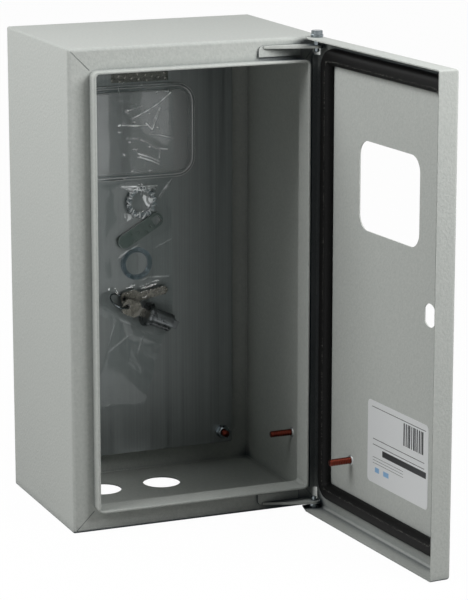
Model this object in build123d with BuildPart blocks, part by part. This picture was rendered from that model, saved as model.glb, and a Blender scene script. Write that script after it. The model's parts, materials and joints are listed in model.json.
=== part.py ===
# Wall-mounted electrical enclosure with a windowed door, hung open on two pin hinges.
# X runs to the right, Y from the front to the wall, Z up. Sizes are in millimetres.
# The origin is the centre of the four wall holes, on the outer face of the back.
import math
import os

from build123d import *

# Folded body
body_width = 220.0
body_height = 400.0
body_depth = 155.0
body_sheet = 1.0
bend_radius = 3.0
edge_radius = 1.6
flange_width = 18.0
hinge_flange_width = 14.0

# Doubled lip round the opening, folded forward and back on itself
lip_depth = 11.0
lip_thickness = 2.2
lip_round = 1.0
lip_return = 9.0
lip_corner_radius = 5.0

# Mitred seams across the corners of the front flange
seam_width = 0.5
seam_depth = 0.4

# Holes in the body
wall_hole_diameter = 8.0
wall_hole_spacing_x = 130.0
wall_hole_spacing_z = 300.0
cable_hole_diameter = 32.5
cable_hole_spacing = 54.5
cable_hole_shift = -18.75
cable_hole_from_back = 47.0

# Hinge pins and brackets
hinge_inset = 10.0
hinge_forward = 12.0
pin_diameter = 4.5
pin_shoulder_diameter = 6.0
pin_clearance = 0.05
shoulder_gap = 0.1
pin_overrun = 3.5
bracket_sheet = 2.0
bracket_bend_radius = 1.5
bracket_from_edge = 6.0
bracket_leg_length = 37.0
bracket_leg_height = 9.0
bracket_leg_inset = 10.0
bracket_leg_corner = 4.0
bracket_eye_radius = 5.5
bracket_toe = 3.0
bolt_head_width = 8.0
bolt_head_height = 3.5
hex_chamfer_taper = 60.0
hex_chamfer_share = 0.97
pin_chamfer = 0.5
bolt_flange_diameter = 10.5
bolt_flange_height = 1.2
washer_diameter = 10.0
washer_thickness = 1.0

# Door pan
door_open_angle = 94.0
door_lift = 0.5
door_depth = 18.0
door_sheet = 1.0
door_gap = 2.0
hinge_side_depth = 7.0
hinge_flange_cut = 4.3
hinge_notch_height = 16.0
hinge_end_chamfer = 14.6
window_width = 95.0
window_height = 73.0
window_radius = 13.0
window_x = -8.0
window_from_top = 111.5
lock_hole_diameter = 19.0
lock_hole_flats = 16.0
lock_hole_x = -73.5
lock_hole_z = 4.0

# Door gasket, seated against the lip when the door is shut, with its reach past the lip on each side
gasket_width = 14.0
gasket_round = 5.0
gasket_squeeze_gap = 0.5
gasket_corner_radius = 16.0
gasket_reach_top = 11.0
gasket_reach_base = 5.5
gasket_reach_free = 11.0
gasket_reach_hinge = 0.5

# Sticker on the inside of the door
label_width = 96.0
label_height = 69.0
label_thickness = 0.2
label_radius = 4.0
label_x = -27.0
label_from_base = 80.5

# Copper-plated weld studs
stud_diameter = 6.0
stud_chamfer = 0.6
earth_stud_length = 20.0
earth_collar_diameter = 9.0
earth_collar_height = 1.0
door_stud_x = 49.0
door_stud_from_base = 55.0
wall_stud_from_front = 55.0
wall_stud_from_base = 49.0

# Mounting plate on four studs
plate_side_gap = 20.0
plate_end_gap = 20.0
plate_sheet = 1.0
plate_standoff = 10.0
plate_stud_inset = 10.0
plate_stud_length = 22.0
plate_slot_length = 12.0
plate_slot_width = 7.0
plate_slot_shift = 2.0
plate_corner_radius = 2.0
spacer_diameter = 10.0
bore_clearance = 0.1
plate_washer_diameter = 12.0
plate_washer_thickness = 1.6
plate_nut_width = 10.0
plate_nut_height = 5.0

# Film bag with the loose fittings, taped to the mounting plate
film_thickness = 0.3
bag_width = 112.0
bag_x = 4.0
bag_height = 290.0
bag_from_plate_top = 28.0
seat_gap = 0.2
bag_seam_height = 4.0
bag_slope_height = 10.0
bag_slack = 0.4
tape_width = 52.0
tape_height = 9.0
tape_thickness = 0.2

# Window pane, packed loose
pane_overlap = 4.5
pane_thickness = 1.5
pane_step_height = 2.5
pane_step_gap = 0.6
pane_step_wall = 1.5
pane_x = 2.5
pane_drop = 47.0

# Cam lock, packed loose with its keys
lock_angle = -24.0
lock_head_x = 3.5
lock_head_drop = 204.5
lock_head_diameter = 22.0
lock_head_height = 4.5
lock_head_chamfer = 1.0
lock_barrel_length = 20.0
lock_barrel_gap = 0.4
plug_diameter = 11.0
plug_tail_width = 7.0
plug_tail_length = 7.0
keyway_clearance = 0.1
nut_ring_diameter = 28.0
nut_ring_thickness = 3.0
nut_ring_teeth = 16
nut_tooth_depth = 1.6
nut_tooth_width = 2.6
nut_ring_x = 4.0
nut_ring_drop = 108.0
cam_length = 46.0
cam_width = 12.5
cam_thickness = 2.5
cam_hole_gap = 0.2
cam_angle = 30.0
cam_x = 3.0
cam_drop = 133.0
seal_diameter = 28.5
seal_bore = 20.0
seal_thickness = 1.5
seal_x = -0.5
seal_drop = 162.0

# Keys and their ring
key_thickness = 2.0
key_bow_radius = 9.0
key_bow_flat = 7.0
key_hole_radius = 2.4
key_hole_inset = 4.6
key_neck = 5.0
key_blade_width = 7.5
key_blade_length = 21.0
key_notch_depth = 1.8
key_notch_pitch = 3.2
key_notch_count = 5
key_notch_turn = 45.0
key_ring_radius = 8.5
key_ring_wire = 1.4
key_ring_tilt = 59.0
key_ring_standoff = 8.0
spare_key_angle = 10.0
spare_key_standoff = 3.0

# Planes and places worked out from the sizes above
front_y = -body_depth
base_z = -body_height / 2
top_z = body_height / 2
right_x = body_width / 2
left_x = -body_width / 2
lip_left = left_x + flange_width
lip_right = right_x - hinge_flange_width
lip_width = lip_right - lip_left
lip_height = body_height - 2 * flange_width
lip_centre_x = (lip_left + lip_right) / 2
mouth_width = lip_width - 2 * lip_thickness
mouth_height = lip_height - 2 * lip_thickness
hinge_x = right_x - hinge_inset
hinge_y = front_y - hinge_forward
hinge_axis = Axis((hinge_x, hinge_y, 0), (0, 0, 1))
rim_y = front_y - door_gap
face_y = rim_y - door_depth
door_inner_y = face_y + door_sheet
door_height = body_height
door_base_z = base_z + door_lift
door_top_z = door_base_z + door_height
door_centre_z = (door_base_z + door_top_z) / 2
window_z = door_top_z - window_from_top
label_z = door_base_z + label_from_base
door_stud_z = door_base_z + door_stud_from_base
wall_stud_z = base_z + wall_stud_from_base
bracket_top_z = top_z - bracket_from_edge
bracket_leg_x = hinge_x - bracket_leg_inset - bracket_leg_length / 2
bolt_seat_z = door_top_z + washer_thickness
gasket_height = front_y - lip_depth - gasket_squeeze_gap - door_inner_y
gasket_outer_width = lip_width + gasket_reach_free + gasket_reach_hinge
gasket_outer_height = lip_height + gasket_reach_top + gasket_reach_base
gasket_x = lip_centre_x + (gasket_reach_hinge - gasket_reach_free) / 2
gasket_z = (gasket_reach_top - gasket_reach_base) / 2
plate_width = body_width - 2 * plate_side_gap
plate_height = body_height - 2 * plate_end_gap
plate_back_y = -body_sheet - plate_standoff
plate_front_y = plate_back_y - plate_sheet
stud_spacing_x = plate_width - 2 * plate_stud_inset
stud_spacing_z = plate_height - 2 * plate_stud_inset
bag_top = plate_height / 2 - bag_from_plate_top
bag_bottom = bag_top - bag_height
pane_z = bag_top - pane_drop
nut_ring_z = bag_top - nut_ring_drop
cam_z = bag_top - cam_drop
seal_z = bag_top - seal_drop
lock_head_z = bag_top - lock_head_drop
bag_back_y = plate_front_y - film_thickness
seat_y = bag_back_y - seat_gap
lock_axis_y = seat_y - lock_head_diameter / 2
lock_length = lock_head_height + lock_barrel_length
cam_hole_width = plug_tail_width + 2 * cam_hole_gap
pane_width = window_width + 2 * pane_overlap
pane_height = window_height + 2 * pane_overlap
pane_step_width = window_width - 2 * pane_step_gap
pane_step_tall = window_height - 2 * pane_step_gap
lock_direction = Vector(math.cos(math.radians(lock_angle)), 0, math.sin(math.radians(lock_angle)))
lock_across = Vector(-lock_direction.Z, 0, lock_direction.X)
lock_head = Vector(lock_head_x, lock_axis_y, lock_head_z)
lock_barrel_diameter = lock_hole_diameter - 2 * lock_barrel_gap
lock_barrel_flats = lock_hole_flats - 2 * lock_barrel_gap
key_hole_x = key_hole_inset - 2 * key_bow_radius - key_neck
key_hole_place = lock_head + lock_direction * key_hole_x
spare_key_y = seat_y - spare_key_standoff - key_thickness / 2
ring_rise = math.sin(math.radians(key_ring_tilt))
ring_lean = math.cos(math.radians(key_ring_tilt))
ring_y = seat_y - key_ring_standoff
key_rise = (lock_axis_y - ring_y) / ring_rise
key_reach = math.sqrt(key_ring_radius**2 - key_rise**2)
spare_rise = (spare_key_y - ring_y) / ring_rise
spare_reach = math.sqrt(key_ring_radius**2 - spare_rise**2)
ring_middle = key_hole_place - lock_direction * key_reach - lock_across * key_rise * ring_lean
ring_centre = Vector(ring_middle.X, ring_y, ring_middle.Z)
spare_key_place = ring_middle + lock_direction * spare_reach + lock_across * spare_rise * ring_lean
bag_flat_y = plate_front_y - 2 * film_thickness - bag_slack
tape_z = bag_top - bag_seam_height + bag_slack + tape_height / 2
bag_pane_y = seat_y - pane_thickness - pane_step_height - bag_slack - film_thickness
bag_fittings_y = seat_y - nut_ring_thickness - bag_slack - film_thickness
bag_lock_y = lock_axis_y - lock_head_diameter / 2 - bag_slack - film_thickness
lock_zone_top = ring_centre.Z + key_ring_radius
lock_zone_bottom = lock_head_z + lock_direction.Z * lock_length - lock_head_diameter / 2


def front_plane(y, x=0.0, z=0.0, turn=0.0):
    """A plane parallel to the box front at depth y: sketch x is X, sketch y is Z, normal to the front."""
    across = Vector(math.cos(math.radians(turn)), 0, math.sin(math.radians(turn)))
    return Plane(origin=(x, y, z), x_dir=across, z_dir=(0, -1, 0))


def save(piece, name):
    """Label a finished piece and write it as its own file."""
    piece.label = name
    export_step(piece, f"parts/{name}.step")


def save_on_door(piece, name):
    """Door pieces are drawn shut, then swung about the hinge pins to the open rest position."""
    save(piece.rotate(hinge_axis, door_open_angle), name)


os.makedirs("parts", exist_ok=True)

# Enclosure body: walls, back, front flange and lip folded and welded as one piece
with BuildPart() as enclosure_body:
    with BuildSketch(front_plane(0)):
        Rectangle(body_width, body_height)
    extrude(amount=body_depth)
    fillet(enclosure_body.edges().filter_by(Axis.Y), edge_radius)
    fillet(enclosure_body.faces().sort_by(Axis.Y)[0].edges(), bend_radius)
    fillet(enclosure_body.faces().sort_by(Axis.Y)[-1].edges(), edge_radius)
    with BuildSketch(front_plane(-body_sheet)):
        RectangleRounded(body_width - 2 * body_sheet, body_height - 2 * body_sheet, edge_radius - body_sheet)
    extrude(amount=body_depth - 2 * body_sheet, mode=Mode.SUBTRACT)
    fillet(enclosure_body.faces().filter_by(Axis.Y).sort_by(Axis.Y)[1].edges(), bend_radius - body_sheet)
    fillet(enclosure_body.faces().filter_by(Axis.Y).sort_by(Axis.Y)[2].edges(), edge_radius - body_sheet)
    with BuildSketch(front_plane(front_y + lip_return)):
        with Locations((lip_centre_x, 0)):
            RectangleRounded(lip_width, lip_height, lip_corner_radius)
    extrude(amount=lip_return + lip_depth)
    with BuildSketch(front_plane(front_y + lip_return)):
        with Locations((lip_centre_x, 0)):
            RectangleRounded(mouth_width, mouth_height, lip_corner_radius - lip_thickness)
    extrude(amount=lip_return + lip_depth, mode=Mode.SUBTRACT)
    fillet(enclosure_body.faces().sort_by(Axis.Y)[0].edges(), lip_round)
    with BuildSketch(front_plane(0)):
        with GridLocations(wall_hole_spacing_x, wall_hole_spacing_z, 2, 2):
            Circle(wall_hole_diameter / 2)
    extrude(amount=body_sheet, mode=Mode.SUBTRACT)
    with BuildSketch(Plane.XY.offset(base_z)):
        with Locations((cable_hole_shift, -cable_hole_from_back)):
            with GridLocations(cable_hole_spacing, 0, 2, 1):
                Circle(cable_hole_diameter / 2)
    extrude(amount=body_sheet, mode=Mode.SUBTRACT)
    with BuildSketch(front_plane(front_y + seam_depth)):
        for corner_x, lip_x in ((left_x, lip_left), (right_x, lip_right)):
            for corner_z in (base_z, top_z):
                lip_z = corner_z * lip_height / body_height
                seam_length = math.hypot(corner_x - lip_x, corner_z - lip_z)
                seam_turn = math.degrees(math.atan2(corner_z - lip_z, corner_x - lip_x))
                with Locations(((corner_x + lip_x) / 2, (corner_z + lip_z) / 2)):
                    Rectangle(seam_length, seam_width, rotation=seam_turn)
    extrude(amount=seam_depth, mode=Mode.SUBTRACT)
save(enclosure_body.part, "enclosure_body")

# Hinge brackets: a leg welded to the front flange and a tab that reaches out to the pin
with BuildPart() as upper_hinge_bracket:
    with BuildSketch(front_plane(front_y)):
        with Locations((bracket_leg_x, bracket_top_z - bracket_leg_height / 2)):
            Rectangle(bracket_leg_length, bracket_leg_height)
    extrude(amount=bracket_sheet)
    leg_end = upper_hinge_bracket.faces().sort_by(Axis.X)[0]
    fillet(leg_end.edges().filter_by(Axis.Y).sort_by(Axis.Z)[-1], bracket_leg_corner)
    with BuildSketch(Plane.XY.offset(bracket_top_z - bracket_sheet)):
        with Locations((hinge_x, hinge_y)):
            Circle(bracket_eye_radius)
        with Locations((bracket_leg_x + bracket_leg_corner / 2, front_y - bracket_toe / 2)):
            Rectangle(bracket_leg_length - bracket_leg_corner, bracket_toe)
        make_hull()
    extrude(amount=bracket_sheet)
    bend_edges = upper_hinge_bracket.faces().sort_by(Axis.Y)[-1].edges().filter_by(Axis.X)
    fillet(bend_edges.sort_by(Axis.Z)[-1], bracket_bend_radius)
    with BuildSketch(Plane.XY.offset(bracket_top_z)):
        with Locations((hinge_x, hinge_y)):
            Circle(pin_diameter / 2 + pin_clearance)
    extrude(amount=-bracket_sheet, mode=Mode.SUBTRACT)
save(upper_hinge_bracket.part, "upper_hinge_bracket")

with BuildPart() as lower_hinge_bracket:
    mirror(upper_hinge_bracket.part, about=Plane.XY)
save(lower_hinge_bracket.part, "lower_hinge_bracket")

# Door pan, with its flange relieved and notched beside the hinges so that it swings clear
with BuildPart() as door_panel:
    with BuildSketch(front_plane(rim_y)):
        with Locations((0, door_centre_z)):
            Rectangle(body_width, door_height)
    extrude(amount=door_depth)
    fillet(door_panel.edges().filter_by(Axis.Y), edge_radius)
    fillet(door_panel.faces().sort_by(Axis.Y)[0].edges(), bend_radius)
    with BuildSketch(front_plane(rim_y)):
        with Locations((0, door_centre_z)):
            RectangleRounded(body_width - 2 * door_sheet, door_height - 2 * door_sheet, edge_radius - door_sheet)
    extrude(amount=door_depth - door_sheet, mode=Mode.SUBTRACT)
    fillet(door_panel.faces().filter_by(Axis.Y).sort_by(Axis.Y)[1].edges(), bend_radius - door_sheet)
    with BuildSketch(Plane.XY.offset(door_base_z)):
        with BuildLine():
            Polyline(
                (right_x - hinge_end_chamfer, rim_y),
                (right_x, rim_y),
                (right_x, rim_y - hinge_flange_cut),
                close=True,
            )
        make_face()
    extrude(amount=door_height, mode=Mode.SUBTRACT)
    with BuildSketch(front_plane(rim_y)):
        with Locations((right_x - bend_radius / 2, door_centre_z)):
            Rectangle(bend_radius, door_height - 2 * hinge_notch_height)
    extrude(amount=door_depth - hinge_side_depth, mode=Mode.SUBTRACT)
    with BuildSketch(front_plane(rim_y)):
        with Locations((right_x - bend_radius / 2, door_centre_z)):
            with GridLocations(0, door_height - door_sheet - hinge_notch_height, 1, 2):
                Rectangle(bend_radius, hinge_notch_height - door_sheet)
    extrude(amount=door_depth, mode=Mode.SUBTRACT)
    with BuildSketch(Plane.XY.offset(door_top_z)):
        with Locations((hinge_x, hinge_y)):
            Circle(pin_shoulder_diameter / 2 + pin_clearance)
    extrude(amount=-door_sheet, mode=Mode.SUBTRACT)
    with BuildSketch(Plane.XY.offset(door_base_z)):
        with Locations((hinge_x, hinge_y)):
            Circle(pin_diameter / 2 + pin_clearance)
    extrude(amount=door_sheet, mode=Mode.SUBTRACT)
    with BuildSketch(front_plane(door_inner_y)):
        with Locations((window_x, window_z)):
            RectangleRounded(window_width, window_height, window_radius)
    extrude(amount=door_sheet, mode=Mode.SUBTRACT)
    with BuildSketch(front_plane(door_inner_y, lock_hole_x, lock_hole_z)):
        Circle(lock_hole_diameter / 2)
        Rectangle(lock_hole_flats, lock_hole_diameter, mode=Mode.INTERSECT)
    extrude(amount=door_sheet, mode=Mode.SUBTRACT)
save_on_door(door_panel.part, "door_panel")

# Foam gasket: a rounded strip all round the pan, over the whole lip
with BuildPart() as door_gasket:
    with BuildSketch(front_plane(door_inner_y + gasket_height, gasket_x, gasket_z)):
        RectangleRounded(gasket_outer_width, gasket_outer_height, gasket_corner_radius)
        Rectangle(
            gasket_outer_width - 2 * gasket_width,
            gasket_outer_height - 2 * gasket_width,
            mode=Mode.SUBTRACT,
        )
    extrude(amount=gasket_height)
    fillet(door_gasket.faces().sort_by(Axis.Y)[-1].edges(), gasket_round)
save_on_door(door_gasket.part, "door_gasket")

# Sticker on the door's inner face
with BuildPart() as door_label:
    with BuildSketch(front_plane(door_inner_y + label_thickness)):
        with Locations((label_x, label_z)):
            RectangleRounded(label_width, label_height, label_radius)
    extrude(amount=label_thickness)
save_on_door(door_label.part, "door_label")

# Upper hinge bolt: its shoulder rests on the bracket and its tip turns in the bracket's eye
with BuildPart() as upper_hinge_bolt:
    with BuildSketch(Plane.XY.offset(bolt_seat_z + bolt_flange_height)):
        with Locations((hinge_x, hinge_y)):
            RegularPolygon(bolt_head_width / 2, 6, major_radius=False)
    extrude(amount=bolt_head_height)
    with BuildSketch(Plane.XY.offset(bolt_seat_z + bolt_flange_height + bolt_head_height)):
        with Locations((hinge_x, hinge_y)):
            Circle(hex_chamfer_share * bolt_head_width / 2)
    extrude(amount=-bolt_head_height, taper=-hex_chamfer_taper, mode=Mode.INTERSECT)
    with BuildSketch(Plane.XY.offset(bolt_seat_z)):
        with Locations((hinge_x, hinge_y)):
            Circle(bolt_flange_diameter / 2)
    extrude(amount=bolt_flange_height)
    with BuildSketch(Plane.XY.offset(bracket_top_z + shoulder_gap)):
        with Locations((hinge_x, hinge_y)):
            Circle(pin_shoulder_diameter / 2)
    extrude(amount=bolt_seat_z - bracket_top_z - shoulder_gap)
    with BuildSketch(Plane.XY.offset(bracket_top_z + shoulder_gap)):
        with Locations((hinge_x, hinge_y)):
            Circle(pin_diameter / 2)
    extrude(amount=-(shoulder_gap + bracket_sheet + pin_overrun))
    chamfer(upper_hinge_bolt.faces().sort_by(Axis.Z)[0].edges(), pin_chamfer)
save_on_door(upper_hinge_bolt.part, "upper_hinge_bolt")

with BuildPart() as upper_hinge_washer:
    with BuildSketch(Plane.XY.offset(door_top_z)):
        with Locations((hinge_x, hinge_y)):
            Circle(washer_diameter / 2)
            Circle(pin_shoulder_diameter / 2 + bore_clearance, mode=Mode.SUBTRACT)
    extrude(amount=washer_thickness)
save_on_door(upper_hinge_washer.part, "upper_hinge_washer")

# Lower hinge pin: riveted through the door's bottom flange
with BuildPart() as lower_hinge_pin:
    with BuildSketch(Plane.XY.offset(door_base_z)):
        with Locations((hinge_x, hinge_y)):
            Circle(pin_diameter / 2)
    extrude(amount=pin_overrun + bracket_sheet - bracket_top_z - door_base_z)
    chamfer(lower_hinge_pin.faces().sort_by(Axis.Z)[-1].edges(), pin_chamfer)
    with BuildSketch(Plane.XY.offset(door_base_z + door_sheet)):
        with Locations((hinge_x, hinge_y)):
            Circle(pin_shoulder_diameter / 2)
    extrude(amount=-bracket_top_z - shoulder_gap - door_base_z - door_sheet)
save_on_door(lower_hinge_pin.part, "lower_hinge_pin")

# Earth studs, each with its weld collar
with BuildPart() as door_earth_stud:
    with BuildSketch(front_plane(door_inner_y, door_stud_x, door_stud_z)):
        Circle(earth_collar_diameter / 2)
    extrude(amount=-earth_collar_height)
    with BuildSketch(front_plane(door_inner_y, door_stud_x, door_stud_z)):
        Circle(stud_diameter / 2)
    extrude(amount=-earth_stud_length)
    chamfer(door_earth_stud.faces().sort_by(Axis.Y)[-1].edges(), stud_chamfer)
save_on_door(door_earth_stud.part, "door_earth_stud")

wall_stud_place = (right_x - body_sheet, front_y + wall_stud_from_front, wall_stud_z)
wall_stud_plane = Plane(origin=wall_stud_place, x_dir=(0, 1, 0), z_dir=(-1, 0, 0))
with BuildPart() as wall_earth_stud:
    with BuildSketch(wall_stud_plane):
        Circle(earth_collar_diameter / 2)
    extrude(amount=earth_collar_height)
    with BuildSketch(wall_stud_plane):
        Circle(stud_diameter / 2)
    extrude(amount=earth_stud_length)
    chamfer(wall_earth_stud.faces().sort_by(Axis.X)[0].edges(), stud_chamfer)
save(wall_earth_stud.part, "wall_earth_stud")

# Mounting plate with a slot at each stud
with BuildPart() as mounting_plate:
    with BuildSketch(front_plane(plate_back_y)):
        RectangleRounded(plate_width, plate_height, plate_corner_radius)
        with GridLocations(stud_spacing_x + 2 * plate_slot_shift, stud_spacing_z, 2, 2):
            SlotOverall(plate_slot_length, plate_slot_width, mode=Mode.SUBTRACT)
    extrude(amount=plate_sheet)
save(mounting_plate.part, "mounting_plate")

# The plate's four studs, spacers, washers and nuts
with BuildPart() as plate_studs:
    with BuildSketch(front_plane(-body_sheet)):
        with GridLocations(stud_spacing_x, stud_spacing_z, 2, 2):
            Circle(stud_diameter / 2)
    extrude(amount=plate_stud_length)
    chamfer(plate_studs.edges().group_by(Axis.Y)[0], stud_chamfer)
save(plate_studs.part, "plate_studs")

with BuildPart() as plate_spacers:
    with BuildSketch(front_plane(-body_sheet)):
        with GridLocations(stud_spacing_x, stud_spacing_z, 2, 2):
            Circle(spacer_diameter / 2)
            Circle(stud_diameter / 2 + bore_clearance, mode=Mode.SUBTRACT)
    extrude(amount=plate_standoff)
save(plate_spacers.part, "plate_spacers")

with BuildPart() as plate_washers:
    with BuildSketch(front_plane(plate_front_y)):
        with GridLocations(stud_spacing_x, stud_spacing_z, 2, 2):
            Circle(plate_washer_diameter / 2)
            Circle(stud_diameter / 2 + bore_clearance, mode=Mode.SUBTRACT)
    extrude(amount=plate_washer_thickness)
save(plate_washers.part, "plate_washers")

with BuildPart() as plate_nut:
    with BuildSketch():
        RegularPolygon(plate_nut_width / 2, 6, major_radius=False)
        Circle(stud_diameter / 2 + bore_clearance, mode=Mode.SUBTRACT)
    extrude(amount=plate_nut_height)
    with BuildSketch(Plane.XY.offset(plate_nut_height)):
        Circle(hex_chamfer_share * plate_nut_width / 2)
    extrude(amount=-plate_nut_height, taper=-hex_chamfer_taper, mode=Mode.INTERSECT)

with BuildPart() as plate_nuts:
    with Locations(front_plane(plate_front_y - plate_washer_thickness)):
        with GridLocations(stud_spacing_x, stud_spacing_z, 2, 2):
            add(plate_nut.part)
save(plate_nuts.part, "plate_nuts")

# Window pane: a flange with a raised centre that fits the door's cut-out
with BuildPart() as window_pane:
    with BuildSketch(front_plane(seat_y, pane_x, pane_z)):
        RectangleRounded(pane_width, pane_height, window_radius + pane_overlap)
    extrude(amount=pane_thickness)
    with BuildSketch(front_plane(seat_y - pane_thickness, pane_x, pane_z)):
        RectangleRounded(pane_step_width, pane_step_tall, window_radius - pane_step_gap)
    extrude(amount=pane_step_height)
    with BuildSketch(front_plane(seat_y, pane_x, pane_z)):
        RectangleRounded(
            pane_step_width - 2 * pane_step_wall,
            pane_step_tall - 2 * pane_step_wall,
            window_radius - pane_step_gap - pane_step_wall,
        )
    extrude(amount=pane_step_height, mode=Mode.SUBTRACT)
save(window_pane.part, "window_pane")

# Cam lock: flanged barrel with two flats, and the plug that turns in it
lock_plane = Plane(origin=lock_head, x_dir=lock_across, z_dir=lock_direction)
with BuildPart() as lock_body:
    with BuildSketch(lock_plane):
        Circle(lock_head_diameter / 2)
    extrude(amount=lock_head_height)
    chamfer(lock_body.faces().sort_by(Axis.X)[0].edges(), lock_head_chamfer)
    with BuildSketch(lock_plane.offset(lock_head_height)):
        Circle(lock_barrel_diameter / 2)
        Rectangle(lock_barrel_flats, lock_barrel_diameter, mode=Mode.INTERSECT)
    extrude(amount=lock_barrel_length)
    with BuildSketch(lock_plane):
        Circle(plug_diameter / 2 + pin_clearance)
    extrude(amount=lock_length, mode=Mode.SUBTRACT)
save(lock_body.part, "lock_body")

with BuildPart() as lock_plug:
    with BuildSketch(lock_plane):
        Circle(plug_diameter / 2)
    extrude(amount=lock_length)
    with BuildSketch(lock_plane.offset(lock_length)):
        Rectangle(plug_tail_width, plug_tail_width)
    extrude(amount=plug_tail_length)
    with BuildSketch(lock_plane):
        Rectangle(key_blade_width + 2 * keyway_clearance, key_thickness + 2 * keyway_clearance)
    extrude(amount=key_blade_length + keyway_clearance, mode=Mode.SUBTRACT)
save(lock_plug.part, "lock_plug")

with BuildPart() as lock_nut:
    with BuildSketch(front_plane(seat_y, nut_ring_x, nut_ring_z)):
        Circle(nut_ring_diameter / 2)
        Circle(lock_hole_diameter / 2, mode=Mode.SUBTRACT)
        with PolarLocations(nut_ring_diameter / 2, nut_ring_teeth):
            Rectangle(2 * nut_tooth_depth, nut_tooth_width, mode=Mode.SUBTRACT)
    extrude(amount=nut_ring_thickness)
save(lock_nut.part, "lock_nut")

with BuildPart() as lock_cam:
    with BuildSketch(front_plane(seat_y, cam_x, cam_z, cam_angle)):
        SlotOverall(cam_length, cam_width)
        with Locations(((cam_length - cam_width) / 2, 0)):
            Rectangle(cam_hole_width, cam_hole_width, mode=Mode.SUBTRACT)
    extrude(amount=cam_thickness)
save(lock_cam.part, "lock_cam")

with BuildPart() as seal_ring:
    with BuildSketch(front_plane(seat_y, seal_x, seal_z)):
        Circle(seal_diameter / 2)
        Circle(seal_bore / 2, mode=Mode.SUBTRACT)
    extrude(amount=seal_thickness)
save(seal_ring.part, "seal_ring")


def draw_key():
    """A flat key with its shoulder at the sketch origin and its blade along sketch x."""
    bow_x = -key_neck - key_bow_radius
    with Locations((bow_x, 0)):
        Circle(key_bow_radius)
        Rectangle(2 * key_bow_radius, 2 * key_bow_flat, mode=Mode.INTERSECT)
    with Locations(((key_blade_length + bow_x) / 2, 0)):
        Rectangle(key_blade_length - bow_x, key_blade_width)
    with Locations((key_hole_x, 0)):
        Circle(key_hole_radius, mode=Mode.SUBTRACT)
    with Locations((key_blade_length, key_blade_width / 2), (key_blade_length, -key_blade_width / 2)):
        Rectangle(2 * key_notch_depth, 2 * key_notch_depth, rotation=key_notch_turn, mode=Mode.SUBTRACT)
    for index in range(key_notch_count):
        with Locations((key_blade_length - (index + 1) * key_notch_pitch, key_blade_width / 2)):
            Rectangle(key_notch_depth, key_notch_depth, rotation=key_notch_turn, mode=Mode.SUBTRACT)


# One key in the lock, the spare key on the ring beside it
with BuildPart() as inserted_key:
    with BuildSketch(front_plane(lock_axis_y + key_thickness / 2, lock_head_x, lock_head_z, lock_angle)):
        draw_key()
    extrude(amount=key_thickness)
save(inserted_key.part, "inserted_key")

spare_turn = math.radians(spare_key_angle)
spare_x = spare_key_place.X - key_hole_x * math.cos(spare_turn)
spare_z = spare_key_place.Z - key_hole_x * math.sin(spare_turn)
with BuildPart() as spare_key:
    with BuildSketch(front_plane(spare_key_y + key_thickness / 2, spare_x, spare_z, spare_key_angle)):
        draw_key()
    extrude(amount=key_thickness)
save(spare_key.part, "spare_key")

ring_normal = Vector(0, ring_lean, 0) - lock_across * ring_rise
with BuildPart(Plane(origin=ring_centre, x_dir=lock_direction, z_dir=ring_normal)) as key_ring:
    Torus(key_ring_radius, key_ring_wire / 2)
save(key_ring.part, "key_ring")

# Film bag: a sleeve pressed flat at both ends, bulging over the pane, the small fittings and the lock
with BuildPart() as accessory_bag:
    with BuildSketch(Plane.YZ.offset(bag_x - bag_width / 2)):
        with BuildLine():
            Polyline(
                (plate_front_y, bag_top),
                (bag_flat_y, bag_top),
                (bag_flat_y, bag_top - bag_seam_height),
                (bag_pane_y, bag_top - bag_seam_height - bag_slack),
                (bag_pane_y, pane_z - pane_height / 2 - bag_slack),
                (bag_fittings_y, nut_ring_z + nut_ring_diameter / 2),
                (bag_fittings_y, lock_zone_top + bag_slope_height),
                (bag_lock_y, lock_zone_top),
                (bag_lock_y, lock_zone_bottom),
                (bag_flat_y, lock_zone_bottom - bag_slope_height),
                (bag_flat_y, bag_bottom),
                (plate_front_y, bag_bottom),
                close=True,
            )
        make_face()
        offset(amount=-film_thickness, mode=Mode.SUBTRACT)
    extrude(amount=bag_width)
save(accessory_bag.part, "accessory_bag")

with BuildPart() as bag_tape:
    with BuildSketch(front_plane(bag_flat_y)):
        with Locations((bag_x, tape_z)):
            Rectangle(tape_width, tape_height)
    extrude(amount=tape_thickness)
save(bag_tape.part, "bag_tape")
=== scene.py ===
"""Looks of a wall-mounted electrical enclosure, standing with its windowed door open.

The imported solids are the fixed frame. Film, foam, threads, welds, the spare pane and the split
ring are modelled here, in metres and in the same frame, and every surface gets its finish.
"""

import json
import math

import bpy
import numpy as np
from mathutils import Matrix, Vector
from mathutils.bvhtree import BVHTree


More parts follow.
